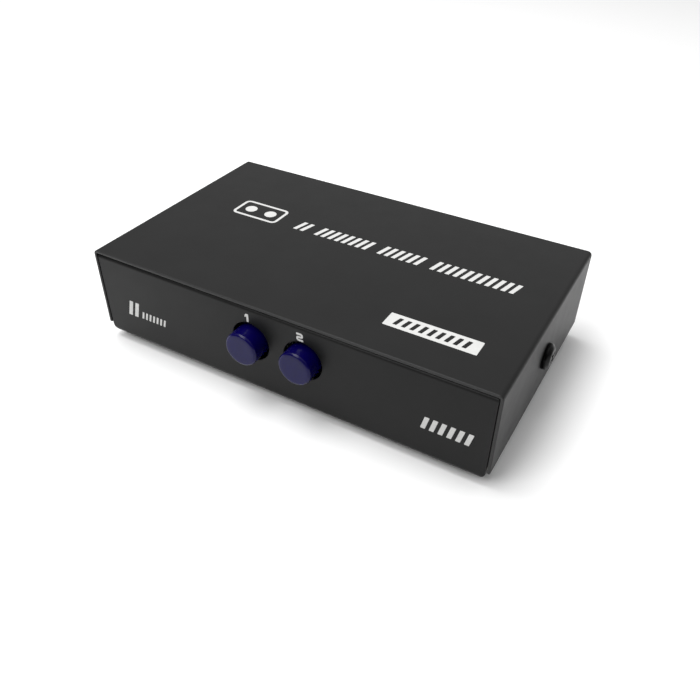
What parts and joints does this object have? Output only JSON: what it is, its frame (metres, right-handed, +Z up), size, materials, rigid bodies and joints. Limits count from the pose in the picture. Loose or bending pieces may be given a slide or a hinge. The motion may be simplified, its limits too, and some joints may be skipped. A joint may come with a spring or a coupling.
{
  "type": "push-button peripheral switch box",
  "caption": "Low black sheet-metal switch box with a pair of round push buttons in front and rear receptacles for sharing one peripheral between computers.",
  "frame": {"origin": "middle of the whole object's footprint, buttons and receptacles included, on the plane the feet rest on", "axes": "+X to the right seen from the front, -Y out of the front panel with the buttons, +Z up"},
  "size_m": [0.1134, 0.0698, 0.0268],
  "materials": {
    "powder_coat": "fine matt black powder coat on sheet steel",
    "print_white": "white screen print on the powder coat",
    "black_screw": "black oxide steel",
    "foot_rubber": "matt black rubber",
    "board_laminate": "green solder mask on glass laminate",
    "zinc_steel": "bright zinc plate",
    "nickel_plate": "nickel plate on formed sheet",
    "black_plastic": "moulded black plastic",
    "white_plastic": "moulded off-white plastic",
    "indigo_plastic": "moulded dark indigo plastic, satin face and glossy sides",
    "bronze": "phosphor bronze strip",
    "gold_contact": "gold flash on copper alloy",
    "spring_steel": "drawn spring wire"
  },
  "bodies": {
    "case": {"top_cover": "powder_coat", "base_tray": "powder_coat", "cover_screw_left": "black_screw", "cover_screw_right": "black_screw", "foot_front_left": "foot_rubber", "foot_front_right": "foot_rubber", "foot_rear_left": "foot_rubber", "foot_rear_right": "foot_rubber", "circuit_board": "board_laminate", "board_standoff_front_left": "zinc_steel", "board_standoff_front_right": "zinc_steel", "board_standoff_rear_left": "zinc_steel", "board_standoff_rear_right": "zinc_steel", "board_screw_front_left": "zinc_steel", "board_screw_front_right": "zinc_steel", "board_screw_rear_left": "zinc_steel", "board_screw_rear_right": "zinc_steel", "host_port_1_shell": "nickel_plate", "host_port_1_insulator": "black_plastic", "host_port_1_contact_1": "gold_contact", "host_port_1_contact_2": "gold_contact", "host_port_1_contact_3": "gold_contact", "host_port_1_contact_4": "gold_contact", "host_port_2_shell": "nickel_plate", "host_port_2_insulator": "black_plastic", "host_port_2_contact_1": "gold_contact", "host_port_2_contact_2": "gold_contact", "host_port_2_contact_3": "gold_contact", "host_port_2_contact_4": "gold_contact", "device_port_shell": "nickel_plate", "device_port_insulator": "white_plastic", "device_port_contact_1": "gold_contact", "device_port_contact_2": "gold_contact", "device_port_contact_3": "gold_contact", "device_port_contact_4": "gold_contact", "switch_bracket": "zinc_steel", "switch_housing_a": "black_plastic", "switch_housing_b": "black_plastic", "terminal_board_a": "black_plastic", "terminal_board_b": "black_plastic", "return_spring_a": "spring_steel", "return_spring_b": "spring_steel", "latch_spring": "spring_steel"},
    "button_a": {"button_cap_a": "indigo_plastic", "plunger_a": "white_plastic", "contact_bridge_a_left": "bronze", "contact_bridge_a_right": "bronze"},
    "button_b": {"button_cap_b": "indigo_plastic", "plunger_b": "white_plastic", "contact_bridge_b_left": "bronze", "contact_bridge_b_right": "bronze"},
    "latch": {"latch_plate": "zinc_steel"}
  },
  "joints": [
    {"name": "button_a_press", "type": "slide", "parent": "case", "child": "button_a", "axis": [0, 1, 0], "range_m": [0, 0.0032], "deforming": ["return_spring_a"]},
    {"name": "button_b_press", "type": "slide", "parent": "case", "child": "button_b", "axis": [0, 1, 0], "range_m": [0, 0.0032], "deforming": ["return_spring_b"]},
    {"name": "latch_slide", "type": "slide", "parent": "case", "child": "latch", "axis": [1, 0, 0], "range_m": [0, 0.001], "deforming": ["latch_spring"]}
  ]
}
